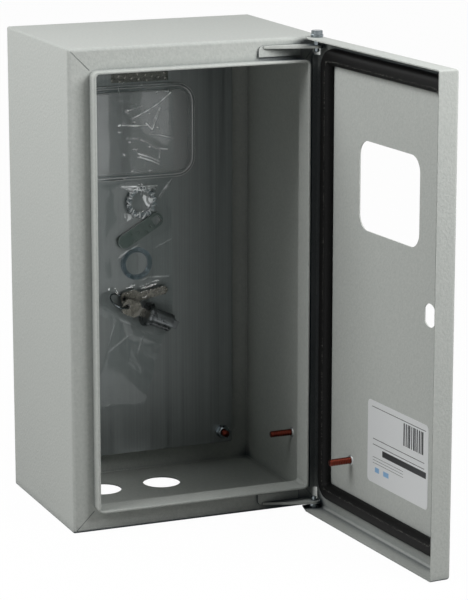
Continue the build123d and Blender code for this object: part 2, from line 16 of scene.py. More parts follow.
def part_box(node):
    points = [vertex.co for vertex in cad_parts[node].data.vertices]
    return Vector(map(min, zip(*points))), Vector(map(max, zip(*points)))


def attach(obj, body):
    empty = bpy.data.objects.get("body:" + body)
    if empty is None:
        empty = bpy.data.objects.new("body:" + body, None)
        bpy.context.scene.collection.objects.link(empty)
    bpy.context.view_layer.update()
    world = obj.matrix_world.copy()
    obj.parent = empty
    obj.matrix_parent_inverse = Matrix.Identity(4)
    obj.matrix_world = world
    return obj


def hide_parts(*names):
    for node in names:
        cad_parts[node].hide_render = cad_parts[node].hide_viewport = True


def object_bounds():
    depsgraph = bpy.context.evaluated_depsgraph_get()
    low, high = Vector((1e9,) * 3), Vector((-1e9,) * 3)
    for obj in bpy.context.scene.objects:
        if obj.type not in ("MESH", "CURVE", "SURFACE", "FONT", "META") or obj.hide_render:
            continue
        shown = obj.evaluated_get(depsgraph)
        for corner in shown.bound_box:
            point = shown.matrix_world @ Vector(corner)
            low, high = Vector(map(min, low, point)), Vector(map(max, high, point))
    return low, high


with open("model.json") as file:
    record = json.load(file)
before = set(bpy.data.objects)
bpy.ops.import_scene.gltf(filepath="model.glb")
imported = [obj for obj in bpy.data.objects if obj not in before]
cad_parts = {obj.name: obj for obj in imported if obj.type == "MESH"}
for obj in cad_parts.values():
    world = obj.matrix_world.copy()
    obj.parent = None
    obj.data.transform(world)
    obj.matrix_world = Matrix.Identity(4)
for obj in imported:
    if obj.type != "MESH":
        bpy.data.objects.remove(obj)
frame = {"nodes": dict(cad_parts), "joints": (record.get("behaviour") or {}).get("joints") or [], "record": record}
cad_low, cad_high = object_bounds()
MM = 0.001

# Camera at the photograph's place: turned to the left of the box and looking slightly down
camera_place = Vector((-0.7970, -2.1427, 0.4824))
camera_azimuth = math.radians(-22.64)
camera_elevation = math.radians(13.01)
camera_lens = 160.82
camera_sensor = 36.0
camera_reach = 50.0

# Studio: half width of the floor, how far it shows as plain white, and the light of the room
floor_reach = 8.0
floor_white_share = 0.98
room_light = 0.02
# Soft boxes: place and width in metres, and power in watts
lamp_aim = Vector((0, -0.15, 0))
soft_boxes = {
    "left_soft_box": ((-0.9, -0.14, 0.82), 0.8, 10.2),
    "left_front_soft_box": ((-0.72, -0.57, 1.0), 0.8, 0.9),
    "right_soft_box": ((0.48, -0.81, 0.68), 0.6, 9.2),
    "back_soft_box": ((-0.7, 1.2, 0.4), 0.5, 3.5),
}

# Screw threads on the studs, drawn coarser than the real 1 mm pitch so that they show
thread_pitch = 1.6 * MM
thread_depth = 0.75 * MM
thread_steepness = 1.25
thread_crest = 0.1
thread_rows_per_turn = 6
thread_sides = 28
stud_radius = 3.0 * MM
stud_chamfer = 0.6 * MM

# Weld collar at the foot of an earth stud; its section is in shares of its radius and height
collar_radius = 4.5 * MM
collar_height = 1.0 * MM
collar_lump = 0.22 * MM
collar_lump_span = 5
collar_sides = 40
collar_section = ((1.0, 0.0), (0.97, 0.45), (0.88, 0.85), (0.76, 1.0), (0.62, 1.0))

# Points round the gasket and the pane: spacing along the sides, and steps in each corner
loop_step = 4.0 * MM
loop_corner_steps = 10

# Foam gasket bead: wobble sideways and swelling in height, each smoothed over a span of points
gasket_width = 14.0 * MM
gasket_corner_radius = 16.0 * MM
gasket_profile_steps = 24
gasket_seam_step = 14
gasket_fullness = 0.62
gasket_wobble = 0.22 * MM
gasket_wobble_span = 9
gasket_height_share = 0.97
gasket_swelling = 0.05
gasket_swelling_span = 15

# Lip round the opening, and the weld runs in its inside corners
lip_inset = 18 * MM
lip_hinge_inset = 14 * MM
lip_thickness = 2.2 * MM
lip_corner_radius = 5 * MM
lip_weld_radius = 0.7 * MM
lip_weld_proud = 0.3
lip_weld_start = 0.8 * MM
lip_weld_length = 8 * MM
lip_weld_taper = 0.4
lip_weld_end = 0.15
lip_weld_lumps = (0.85, 1.1)
lip_weld_steps = 14
lip_weld_sides = 10

# Split key ring: two flat turns of wire
ring_turns = 1.92
ring_steps_per_turn = 72
ring_wire_sides = 10

# Film of the accessory bag
film_step = 0.6 * MM
film_columns = 150
film_rest = 0.5 * MM
film_clearance = 0.35 * MM
film_rounds = 700
film_pull = 0.996
film_ripple = 0.03 * MM
crease_width = 0.6 * MM
crease_height = 0.25 * MM
crease_flicker = 0.25

# Creases pressed over the rim of the lock nut: where they start and end, in millimetres from its
# middle, how far they lean off their step, and how strong a painted glint they carry
rim_creases = 22
rim_crease_start = (8.5, 11.0)
rim_crease_end = (12.5, 15.5)
rim_crease_lean = (-0.6, 0.6)
rim_crease_glint = (0.3, 0.85)

# Painted glints of film that lies loose on the pane, each on a tiny crease: where they are and their
# length in millimetres, their slant in radians, and how bright they show
glints = 26
glint_across = (-40.0, 45.0)
glint_up = (62.0, 148.0)
glint_slant = (-0.5, 0.5)
glint_length = (0.6, 2.4)
glint_brightness = (0.4, 1.0)

# Tape over the bag's top edge
tape_columns = 53
tape_rows = 10

# Spare window pane, and its section from the middle of its back, round the rim, to the middle of
# its face: distance in from the rim and height off the seat in millimetres, and how strong a painted highlight it
# carries
pane_corner_radius = 17.5 * MM
pane_section = (
    (12.0, 2.5, 0.05),
    (7.0, 2.5, 0.05),
    (6.7, 2.35, 0.1),
    (6.6, 2.1, 0.0),
    (6.6, 0.2, 0.0),
    (6.4, 0.0, 0.1),
    (6.0, 0.0, 0.0),
    (0.5, 0.0, 0.0),
    (0.2, 0.0, 0.2),
    (0.0, 0.2, 0.3),
    (0.0, 1.2, 0.3),
    (0.1, 1.4, 0.6),
    (0.35, 1.5, 0.5),
    (0.7, 1.5, 0.0),
    (1.9, 1.5, 0.0),
    (2.1, 1.6, 0.3),
    (2.35, 1.8, 0.5),
    (2.7, 1.8, 0.4),
    (2.95, 1.6, 0.1),
    (3.1, 1.5, 0.0),
    (4.6, 1.5, 0.0),
    (5.0, 1.6, 0.1),
    (5.1, 1.9, 0.0),
    (5.1, 3.5, 0.1),
    (5.2, 3.85, 0.35),
    (5.5, 4.0, 0.3),
    (5.9, 4.0, 0.13),
    (12.0, 4.0, 0.13),
)

# Fittings in the bag that the film lies on
fittings = (
    "window_pane",
    "lock_body",
    "lock_plug",
    "lock_nut",
    "lock_cam",
    "seal_ring",
    "inserted_key",
    "spare_key",
    "key_ring",
)

# Handling creases of the film: how strongly each is whitened and carries a painted glint, and its run as (x, z) in
# millimetres
creases = (
    (0.60, ((-16.4, 144.5), (-16.0, 139.7))),
    (0.50, ((29.1, 141.3), (28.0, 138.4))),
    (0.80, ((30.7, 138.2), (20.1, 129.8), (11.1, 124.6), (-3.5, 117.9))),
    (0.50, ((21.6, 126.1), (19.3, 120.3), (13.6, 107.5))),
    (0.45, ((20.7, 126.1), (15.0, 114.2))),
    (0.80, ((-13.6, 112.4), (-2.5, 111.3), (8.7, 111.2))),
    (0.80, ((8.1, 113.0), (13.6, 107.1), (15.7, 112.1))),
    (0.20, ((-15.6, 133.4), (5.5, 129.2))),
    (0.35, ((-10.1, 123.6), (-2.3, 126.3), (5.5, 127.9))),
    (0.60, ((-10.6, 124.2), (-7.9, 122.4))),
    (0.60, ((10.9, 103.5), (22.1, 101.5), (33.4, 98.2))),
    (0.60, ((3.0, 99.1), (9.7, 95.9), (17.5, 90.3), (27.7, 89.2))),
    (0.85, ((0.7, 86.9), (11.9, 83.0), (19.5, 79.1))),
    (0.75, ((2.5, 83.6), (13.0, 79.9), (19.9, 76.5))),
    (0.35, ((-9.2, 100.9), (0.8, 99.7))),
    (0.35, ((21.4, 88.3), (19.7, 81.6))),
    (0.30, ((28.9, 111.7), (32.8, 111.2))),
    (0.60, ((-12.9, 87.2), (-11.8, 86.3))),
    (0.45, ((-3.8, 91.1), (-0.2, 90.4))),
    (0.75, ((-13.4, 58.5), (2.2, 54.6), (19.2, 57.0))),
    (0.85, ((-13.4, 58.5), (19.2, 57.4))),
    (0.50, ((33.0, 62.2), (19.8, 46.7))),
    (0.35, ((32.1, 59.5), (20.7, 44.9))),
    (0.50, ((1.4, 6.5), (-9.2, 1.9), (-16.3, -3.3))),
    (0.25, ((18.6, 2.7), (31.8, 8.8))),
    (0.45, ((4.1, -25.3), (10.2, -22.8), (29.4, -24.0))),
    (0.20, ((-15.6, -58.7), (2.9, -69.1), (22.5, -84.2))),
    (0.18, ((-6.5, -72.9), (-26.2, -86.9))),
    (0.12, ((4.9, -76.9), (0.6, -90.5))),
    (0.12, ((-19.7, -58.7), (-34.6, -105.0))),
)
# Small turned-up facets of the film with a painted highlight where they face the light, in the same way
facets = (
    (0.42, ((-13.4, 58.5), (-6.8, 54.0), (2.2, 55.2))),
    (0.42, ((3.4, 58.1), (19.4, 57.6), (17.1, 53.7))),
    (0.55, ((2.9, 52.2), (14.6, 45.8), (10.2, 37.9))),
    (0.38, ((-11.9, 35.5), (1.6, 33.0), (-10.2, 27.0))),
    (0.10, ((-5.5, -83.9), (-8.8, -99.6), (4.6, -111.0), (6.7, -105.2), (-2.5, -93.2))),
    (0.08, ((5.4, -90.0), (6.8, -94.1), (18.3, -98.7), (17.9, -96.2))),
    (0.20, ((-29.8, -132.6), (-25.7, -134.0), (-27.8, -136.2))),
)
# Side edges of the bag from its foot up, as (z, left, right) in millimetres
bag_sides = (
    (-138.0, -46.0, 5.9),
    (-106.1, -34.6, 16.1),
    (-84.6, -28.0, 22.5),
    (-60.0, -22.0, 33.0),
    (-44.0, -51.0, 33.5),
    (152.0, -52.0, 33.5),
)

# Fields printed on the sticker: left, right, top and foot as shares of its width and height
dark_fields = (
    (0.07, 0.96, 0.070, 0.078),
    (0.09, 0.94, 0.455, 0.463),
    (0.09, 0.94, 0.525, 0.533),
    (0.25, 0.97, 0.560, 0.635),
    (0.09, 0.60, 0.680, 0.685),
    (0.09, 0.60, 0.715, 0.720),
    (0.09, 0.60, 0.750, 0.755),
)
bar_field = (0.59, 0.93, 0.10, 0.37)
blue_fields = ((0.13, 0.20, 0.80, 0.86), (0.27, 0.36, 0.80, 0.86))
# Half pitch and half width of the bars, drawn coarser than printed ones so that they still show
bar_sets = ((1.45 * MM, 0.6 * MM), (2.05 * MM, 0.55 * MM))

hinge = frame["joints"][0]
hinge_place = Vector(hinge["pos_m"])
open_angle = math.radians(-hinge["range_deg"][0])
swing_open = (
    Matrix.Translation(hinge_place)
    @ Matrix.Rotation(open_angle, 4, "Z")
    @ Matrix.Translation(-hinge_place)
)
chance = np.random.default_rng(11)


def srgb(code):
    """Linear colour of an sRGB hex value."""
    parts = [int(code[i : i + 2], 16) / 255 for i in (1, 3, 5)]
    linear = [p / 12.92 if p <= 0.04045 else ((p + 0.055) / 1.055) ** 2.4 for p in parts]
    return (*linear, 1.0)


def add(tree, kind, inputs=None, **settings):
    """Adds a node with its settings; an input is linked to a socket or set to a value."""
    made = tree.nodes.new(kind)
    for name, value in settings.items():
        setattr(made, name, value)
    for key, value in (inputs or {}).items():
        if isinstance(value, bpy.types.NodeSocket):
            tree.links.new(value, made.inputs[key])
        else:
            made.inputs[key].default_value = value
    return made


def joined(tree, masks, operation):
    """All these masks taken together by one sum, two at a time."""
    total = masks[0]
    for mask in masks[1:]:
        total = add(tree, "ShaderNodeMath", {0: total, 1: mask}, operation=operation).outputs[0]
    return total


def finish_named(name):
    """A new material and its empty tree."""
    made = bpy.data.materials.new(name)
    made.use_nodes = True
    made.node_tree.nodes.clear()
    return made, made.node_tree


def powder_coat(name, recess_depth):
    """Baked powder coat: satin, with soft orange peel that breaks up its light.

    In recesses tighter than the given depth its colour is darkened towards dark grey-blue by ambient occlusion:
    painted shade.
    """
    peel_size = 2.2 * MM
    peel_height = 0.36 * MM
    made, tree = finish_named(name)
    place = add(tree, "ShaderNodeTexCoord").outputs["Object"]
    peel = add(
        tree,
        "ShaderNodeTexNoise",
        {"Vector": place, "Scale": 1 / peel_size, "Detail": 2.5, "Roughness": 0.55},
    ).outputs["Fac"]
    share = add(tree, "ShaderNodeMapRange", {"Value": peel, "From Min": 0.3, "From Max": 0.7})
    paint_colour = add(
        tree,
        "ShaderNodeMix",
        {0: share.outputs[0], 6: srgb("#bcc0bc"), 7: srgb("#c6c9c5")},
        data_type="RGBA",
    )
    # Painted shade: ambient occlusion darkens the paint colour towards dark grey-blue in recesses
    open_sky = add(tree, "ShaderNodeAmbientOcclusion", {"Distance": recess_depth}, samples=8)
    coat = add(
        tree,
        "ShaderNodeMapRange",
        {"Value": open_sky.outputs["AO"], "From Min": 0.3, "From Max": 0.62},
    )
    colour = add(
        tree,
        "ShaderNodeMix",
        {0: coat.outputs[0], 6: srgb("#4a5258"), 7: paint_colour.outputs[2]},
        data_type="RGBA",
    )
    rough = add(
        tree,
        "ShaderNodeMapRange",
        {"Value": peel, "From Min": 0.3, "From Max": 0.7, "To Min": 0.48, "To Max": 0.58},
    )
    bump = add(
        tree, "ShaderNodeBump", {"Height": peel, "Strength": 0.8, "Distance": peel_height}
    )
    shader = add(
        tree,
        "ShaderNodeBsdfPrincipled",
        {
            "Base Color": colour.outputs[2],
            "Roughness": rough.outputs[0],
            "Specular IOR Level": 0.03,
            "Normal": bump.outputs[0],
        },
    )
    add(tree, "ShaderNodeOutputMaterial", {"Surface": shader.outputs[0]})
    return made


def galvanised_sheet():
    """Rolled galvanised sheet: dull dark zinc, long rolling streaks up the plate, faint spangle."""
    streak_width = 1.3 * MM
    streak_length = 260 * MM
    streak_height = 0.05 * MM
    spangle_size = 9 * MM
    spangle_share = 0.05
    made, tree = finish_named("galvanised_sheet_rolled")
    place = add(tree, "ShaderNodeTexCoord").outputs["Object"]
    stretched = add(
        tree,
        "ShaderNodeMapping",
        {"Vector": place, "Scale": (1 / streak_width, 1 / streak_width, 1 / streak_length)},
    )
    streak = add(
        tree,
        "ShaderNodeTexNoise",
        {"Vector": stretched.outputs[0], "Scale": 1.0, "Detail": 4.0, "Roughness": 0.65},
    ).outputs["Fac"]
    spangle = add(
        tree, "ShaderNodeTexVoronoi", {"Vector": place, "Scale": 1 / spangle_size}
    ).outputs["Distance"]
    blend = add(
        tree, "ShaderNodeMix", {0: spangle_share, 2: streak, 3: spangle}, data_type="FLOAT"
    )
    contrast = add(
        tree,
        "ShaderNodeMapRange",
        {"Value": blend.outputs[0], "From Min": 0.32, "From Max": 0.62},
    )
    colour = add(
        tree,
        "ShaderNodeMix",
        {0: contrast.outputs[0], 6: srgb("#717676"), 7: srgb("#7d8281")},
        data_type="RGBA",
    )
    rough = add(
        tree,
        "ShaderNodeMapRange",
        {"Value": streak, "From Min": 0.3, "From Max": 0.7, "To Min": 0.34, "To Max": 0.5},
    )
    bump = add(
        tree, "ShaderNodeBump", {"Height": streak, "Strength": 0.2, "Distance": streak_height}
    )
    shader = add(
        tree,
        "ShaderNodeBsdfPrincipled",
        {
            "Base Color": colour.outputs[2],
            "Metallic": 0.9,
            "Roughness": rough.outputs[0],
            "Normal": bump.outputs[0],
        },
    )
    add(tree, "ShaderNodeOutputMaterial", {"Surface": shader.outputs[0]})
    return made


def plated_metal(name, dark, pale, roughness, grain):
    """A metal with a fine uneven skin: colour and gloss drift over the grain size."""
    gloss_drift = 0.07
    skin_height = 0.03 * MM
    made, tree = finish_named(name)
    place = add(tree, "ShaderNodeTexCoord").outputs["Object"]
    drift = add(
        tree,
        "ShaderNodeTexNoise",
        {"Vector": place, "Scale": 1 / grain, "Detail": 2.0, "Roughness": 0.5},
    ).outputs["Fac"]
    colour = add(
        tree, "ShaderNodeMix", {0: drift, 6: srgb(dark), 7: srgb(pale)}, data_type="RGBA"
    )
    rough = add(
        tree,
        "ShaderNodeMapRange",
        {
            "Value": drift,
            "From Min": 0.3,
            "From Max": 0.7,
            "To Min": roughness - gloss_drift,
            "To Max": roughness + gloss_drift,
        },
    )
    bump = add(
        tree, "ShaderNodeBump", {"Height": drift, "Strength": 0.15, "Distance": skin_height}
    )
    shader = add(
        tree,
        "ShaderNodeBsdfPrincipled",
        {
            "Base Color": colour.outputs[2],
            "Metallic": 1.0,
            "Roughness": rough.outputs[0],
            "Normal": bump.outputs[0],
        },
    )
    add(tree, "ShaderNodeOutputMaterial", {"Surface": shader.outputs[0]})
    return made


def closed_cell_foam():
    """Foamed-in-place bead: matt black skin, fine cells, specks of dust, a pale seam on its crown.

    Cells and dust are drawn coarser than real ones so that they show.
    """
    cell_size = 0.9 * MM
    cell_depth = 0.1 * MM
    dust_size = 2.2 * MM
    made, tree = finish_named("closed_cell_foam_black")
    place = add(tree, "ShaderNodeTexCoord").outputs["Object"]
    cells = add(
        tree, "ShaderNodeTexVoronoi", {"Vector": place, "Scale": 1 / cell_size}
    ).outputs["Distance"]
    dust = add(
        tree, "ShaderNodeTexVoronoi", {"Vector": place, "Scale": 1 / dust_size}
    ).outputs["Distance"]
    speck = add(
        tree,
        "ShaderNodeMapRange",
        {"Value": dust, "From Min": 0.06, "From Max": 0.1, "To Min": 0.2, "To Max": 0.0},
    )
    grain = add(
        tree,
        "ShaderNodeMapRange",
        {"Value": cells, "From Min": 0.2, "From Max": 0.32, "To Min": 0.9, "To Max": 0.0},
    )
    crown = add(tree, "ShaderNodeAttribute", attribute_name="crown")
    seam = joined(tree, [crown.outputs["Fac"], grain.outputs[0]], "MULTIPLY")
    pale = joined(tree, [speck.outputs[0], seam], "MAXIMUM")
    colour = add(
        tree, "ShaderNodeMix", {0: pale, 6: srgb("#060606"), 7: srgb("#b4b4ac")}, data_type="RGBA"
    )
    bump = add(
        tree, "ShaderNodeBump", {"Height": cells, "Strength": 0.25, "Distance": cell_depth}
    )
    shader = add(
        tree,
        "ShaderNodeBsdfPrincipled",
        {
            "Base Color": colour.outputs[2],
            "Roughness": 0.6,
            "Specular IOR Level": 0.15,
            "Normal": bump.outputs[0],
        },
    )
    add(tree, "ShaderNodeOutputMaterial", {"Surface": shader.outputs[0]})
    return made


def printed_field(tree, axes, low, high, part):
    """Mask of a field on the sticker, measured from its upper corner at the hinge."""
    left, right, top, foot = part
    width, height = high.x - low.x, high.z - low.z
    tests = (
        ("X", high.x - right * width, "GREATER_THAN"),
        ("X", high.x - left * width, "LESS_THAN"),
        ("Z", high.z - foot * height, "GREATER_THAN"),
        ("Z", high.z - top * height, "LESS_THAN"),
    )
    passed = []
    for axis, limit, test in tests:
        node = add(tree, "ShaderNodeMath", {0: axes.outputs[axis], 1: limit}, operation=test)
        passed.append(node.outputs[0])
    return joined(tree, passed, "MULTIPLY")


def sticker_paper():
    """White coated paper with printed rules, a dark band, a block of bars and two blue squares.

    Its fibre is drawn coarser than the real one so that it shows.
    """
    fibre_size = 0.8 * MM
    fibre_height = 0.03 * MM
    low, high = shut_box("door_label")
    made, tree = finish_named("sticker_paper_white")
    place = add(tree, "ShaderNodeTexCoord").outputs["Object"]
    back_turn = Matrix.Rotation(-open_angle, 4, "Z")
    shut = add(
        tree,
        "ShaderNodeMapping",
        {
            "Vector": place,
            "Rotation": (0, 0, -open_angle),
            "Location": hinge_place - back_turn @ hinge_place,
        },
    )
    axes = add(tree, "ShaderNodeSeparateXYZ", {0: shut.outputs[0]})
    bars = []
    for pitch, width in bar_sets:
        wave = add(tree, "ShaderNodeMath", {0: axes.outputs["X"], 1: pitch}, operation="PINGPONG")
        bar = add(tree, "ShaderNodeMath", {0: wave.outputs[0], 1: width}, operation="LESS_THAN")
        bars.append(bar.outputs[0])
    bar_block = printed_field(tree, axes, low, high, bar_field)
    darks = [printed_field(tree, axes, low, high, part) for part in dark_fields]
    darks.append(joined(tree, [joined(tree, bars, "MAXIMUM"), bar_block], "MULTIPLY"))
    blues = [printed_field(tree, axes, low, high, part) for part in blue_fields]
    blue = joined(tree, blues, "MAXIMUM")
    dark = joined(tree, darks, "MAXIMUM")
    paper = add(
        tree, "ShaderNodeMix", {0: blue, 6: srgb("#e8eaeb"), 7: srgb("#8fb9e0")}, data_type="RGBA"
    )
    colour = add(
        tree, "ShaderNodeMix", {0: dark, 6: paper.outputs[2], 7: srgb("#1f2123")}, data_type="RGBA"
    )
    fibre = add(
        tree, "ShaderNodeTexNoise", {"Vector": place, "Scale": 1 / fibre_size, "Detail": 3.0}
    ).outputs["Fac"]
    bump = add(
        tree, "ShaderNodeBump", {"Height": fibre, "Strength": 0.1, "Distance": fibre_height}
    )
    shader = add(
        tree,
        "ShaderNodeBsdfPrincipled",
        {"Base Color": colour.outputs[2], "Roughness": 0.45, "Normal": bump.outputs[0]},
    )
    add(tree, "ShaderNodeOutputMaterial", {"Surface": shader.outputs[0]})
    return made


def clear_sheet(name, tint, haze, haze_colour, roughness, ior, ripple):
    """Clear plastic too thin to bend the view.

    It is see-through, mirrors at a slant, dulls where it is scuffed, and where it is creased it is whitened and
    given a painted glint.
    """
    ripple_size = 14 * MM
    scuff_size = 5 * MM
    crease_roughness = 0.5
    most_mirror = 0.3
    made, tree = finish_named(name)
    place = add(tree, "ShaderNodeTexCoord").outputs["Object"]
    wave = add(
        tree, "ShaderNodeTexNoise", {"Vector": place, "Scale": 1 / ripple_size, "Detail": 2.0}
    ).outputs["Fac"]
    bump = add(tree, "ShaderNodeBump", {"Height": wave, "Strength": 1.0, "Distance": ripple})
    clear = add(tree, "ShaderNodeBsdfTransparent", {"Color": srgb(tint)})
    mirror = add(
        tree, "ShaderNodeBsdfGlossy", {"Roughness": roughness, "Normal": bump.outputs[0]}
    )
    edge = add(tree, "ShaderNodeFresnel", {"IOR": ior, "Normal": bump.outputs[0]})
    share = add(
        tree, "ShaderNodeMath", {0: edge.outputs[0], 1: most_mirror}, operation="MINIMUM"
    )
    sheet = add(
        tree,
        "ShaderNodeMixShader",
        {0: share.outputs[0], 1: clear.outputs[0], 2: mirror.outputs[0]},
    )
    white = add(
        tree, "ShaderNodeBsdfGlossy", {"Color": srgb(haze_colour), "Roughness": crease_roughness}
    )
    scuff = add(
        tree, "ShaderNodeTexNoise", {"Vector": place, "Scale": 1 / scuff_size, "Detail": 4.0}
    ).outputs["Fac"]
    dull = add(
        tree,
        "ShaderNodeMapRange",
        {"Value": scuff, "From Min": 0.45, "From Max": 0.75, "To Min": 0.0, "To Max": haze},
    )
    # The crease mark mixes in a pale glossy sheen: whitening of the crease and a painted glint
    crease = add(tree, "ShaderNodeAttribute", attribute_name="crease")
    scuff_and_glint = add(
        tree,
        "ShaderNodeMath",
        {0: dull.outputs[0], 1: crease.outputs["Fac"]},
        operation="ADD",
        use_clamp=True,
    )
    mixed = add(
        tree,
        "ShaderNodeMixShader",
        {0: scuff_and_glint.outputs[0], 1: sheet.outputs[0], 2: white.outputs[0]},
    )
    add(tree, "ShaderNodeOutputMaterial", {"Surface": mixed.outputs[0]})
    return made


def shut_box(node):
    """Lowest and highest corner of a door node with the door swung shut."""
    back = swing_open.inverted()
    points = np.array([back @ v.co for v in frame["nodes"][node].data.vertices])
    return Vector(points.min(0)), Vector(points.max(0))


def mesh_object(name, points, faces, finish):
    """An object of these points and faces in one finish."""
    mesh = bpy.data.meshes.new(name)
    mesh.from_pydata([tuple(p) for p in points], [], faces)
    mesh.update()
    mesh.materials.append(finish)
    made = bpy.data.objects.new(name, mesh)
    bpy.context.scene.collection.objects.link(made)
    return made


def piece_from(name, points, faces, finish, body):
    """A smooth piece of these points and faces that rides on a body."""
    made = mesh_object(name, points, faces, finish)
    made.data.polygons.foreach_set("use_smooth", [True] * len(made.data.polygons))
    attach(made, body)
    return made


def mark_points(piece, mark, values):
    """Gives each point of a piece a value that its finish reads."""
    marks = piece.data.attributes.new(mark, "FLOAT", "POINT")
    marks.data.foreach_set("value", values)


def grid_faces(rows, columns, loop_rows=False, loop_columns=False):
    """Four-sided faces over rows times columns of points, closed into a tube or ring if asked."""
    faces = []
    for r in range(rows if loop_rows else rows - 1):
        for c in range(columns if loop_columns else columns - 1):
            low, high = r * columns, (r + 1) % rows * columns
            following = (c + 1) % columns
            faces.append((low + c, low + following, high + following, high + c))
    return faces


def shifted(faces, first):
    """The same faces for points that are listed after others."""
    return [tuple(i + first for i in face) for face in faces]


def uneven_round(count, span):
    """Random values round a closed loop, smoothed over a span of neighbours."""
    values = np.tile(chance.normal(0, 1, count), 3)
    return np.convolve(values, np.ones(span) / span, "same")[count : 2 * count]


def upright_to(base, direction):
    """The move that takes +Z at the origin to this direction at this place."""
    return Matrix.Translation(base) @ direction.to_track_quat("Z", "X").to_matrix().to_4x4()


def ring_point(move, radius, step, steps, height):
    """A point at a step round an upright axis, which is then moved."""
    angle = 2 * math.pi * step / steps
    return move @ Vector((radius * math.cos(angle), radius * math.sin(angle), height))


def threaded_stud(base, direction, length):
    """Points and faces of a screw thread with a chamfered tip, on a core that starts at base."""
    rows = int(length / thread_pitch * thread_rows_per_turn)
    move = upright_to(base, direction)
    points = []
    for r in range(rows + 1):
        height = length * r / rows
        tip = max(0.0, height - (length - stud_chamfer))
        for s in range(thread_sides):
            phase = (height / thread_pitch - s / thread_sides) % 1.0
            flank = abs(2 * phase - 1) * thread_steepness - thread_crest
            cut = thread_depth * min(1.0, max(0.0, flank))
            radius = min(stud_radius - cut, stud_radius - tip)
            points.append(ring_point(move, radius, s, thread_sides, height))
    faces = grid_faces(rows + 1, thread_sides, loop_columns=True)
    faces.append(tuple(range(thread_sides))[::-1])
    faces.append(tuple(range(rows * thread_sides, (rows + 1) * thread_sides)))
    return points, faces


def weld_collar(base, direction):
    """Points and faces of the lumpy ring of weld round the foot of a stud."""
    bore = collar_section[-1][0]
    move = upright_to(base, direction)
    lumps = uneven_round(collar_sides, collar_lump_span) * collar_lump
    points = []
    for share, rise in collar_section:
        for s in range(collar_sides):
            radius = collar_radius * share + lumps[s] * (share - bore)
            height = collar_height * rise + lumps[s] * rise
            points.append(ring_point(move, radius, s, collar_sides, height))
    return points, grid_faces(len(collar_section), collar_sides, loop_columns=True)


def rounded_loop(width, height, radius):
    """Points and outward directions round a rectangle with rounded corners, in a plane."""
    places, outward = [], []
    corners = ((1, 1, 0), (-1, 1, 90), (-1, -1, 180), (1, -1, 270))
    for index, (side, up, start) in enumerate(corners):
        centre = Vector((side * (width / 2 - radius), up * (height / 2 - radius)))
        for step in range(loop_corner_steps + 1):
            angle = math.radians(start + 90 * step / loop_corner_steps)
            out = Vector((math.cos(angle), math.sin(angle)))
            places.append(centre + out * radius)
            outward.append(out)
        next_side, next_up, _ = corners[(index + 1) % 4]
        target = Vector((next_side * (width / 2 - radius), next_up * (height / 2 - radius)))
        run = target + out * radius - places[-1]
        steps = int(run.length / loop_step)
        for _ in range(1, steps):
            places.append(places[-1] + run / steps)
            outward.append(out)
    return places, outward


def foam_gasket(finish):
    """The sealing bead on the door: a rounded, slightly uneven strip inside the flanges."""
    low, high = shut_box("door_gasket")
    centre = (low + high) / 2
    places, outward = rounded_loop(
        high.x - low.x - gasket_width,
        high.z - low.z - gasket_width,
        gasket_corner_radius - gasket_width / 2,
    )
    drift = uneven_round(len(places), gasket_wobble_span)
    swell = uneven_round(len(places), gasket_swelling_span)
    half = gasket_width / 2 - gasket_wobble
    points, crown = [], []
    for index, (place, out) in enumerate(zip(places, outward)):
        share = min(1.0, gasket_height_share + gasket_swelling * swell[index])
        height = (high.y - low.y) * share
        for step in range(gasket_profile_steps + 1):
            angle = math.pi * step / gasket_profile_steps
            across = math.copysign(abs(math.cos(angle)) ** gasket_fullness, math.cos(angle))
            spread = half * across + gasket_wobble * drift[index] * math.sin(angle)
            rise = height * math.sin(angle) ** gasket_fullness
            spot = place + out * spread
            points.append(swing_open @ Vector((centre.x + spot.x, low.y + rise, centre.z + spot.y)))
            crown.append(1.0 if step == gasket_seam_step else 0.0)
    faces = grid_faces(len(places), gasket_profile_steps + 1, loop_rows=True, loop_columns=True)
    bead = piece_from("foam_gasket", points, faces, finish, "door")
    mark_points(bead, "crown", crown)
    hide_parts("door_gasket")


def earth_stud(name, node, stand, body, steel, copper):
    """A copper-plated weld stud with its thread and weld collar, in place of the plain solid."""
    foot, direction, length = stand
    points, faces = threaded_stud(foot, direction, length)
    thread = piece_from(name, points, faces, copper, body)
    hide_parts(node)
    points, faces = weld_collar(foot, direction)
    collar = piece_from(name + "_weld", points, faces, steel, body)


def lip_welds(finish):
    """Short painted weld runs in the four inside corners of the lip round the opening."""
    low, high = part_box("enclosure_body")
    inner_radius = lip_corner_radius - lip_thickness
    reach = (inner_radius - lip_weld_proud * lip_weld_radius) / math.sqrt(2)
    tube = grid_faces(lip_weld_steps, lip_weld_sides, loop_columns=True)
    tube.append(tuple(range(lip_weld_sides)))
    last = (lip_weld_steps - 1) * lip_weld_sides
    tube.append(tuple(range(last, last + lip_weld_sides))[::-1])
    points, faces = [], []
    for side_x, inset_x, edge_x in ((-1, lip_inset, low.x), (1, lip_hinge_inset, high.x)):
        for side_z, edge_z in ((-1, low.z), (1, high.z)):
            x = edge_x - side_x * (inset_x + lip_corner_radius - reach)
            z = edge_z - side_z * (lip_inset + lip_corner_radius - reach)
            faces += shifted(tube, len(points))
            for share in np.linspace(0, 1, lip_weld_steps):
                full = max(lip_weld_end, math.sin(math.pi * share) ** lip_weld_taper)
                swell = full * chance.uniform(*lip_weld_lumps) * lip_weld_radius
                y = low.y + lip_weld_start + share * lip_weld_length
                for s in range(lip_weld_sides):
                    angle = 2 * math.pi * s / lip_weld_sides
                    points.append((x + swell * math.cos(angle), y, z + swell * math.sin(angle)))
    welds = piece_from("lip_corner_welds", points, faces, finish, "enclosure")


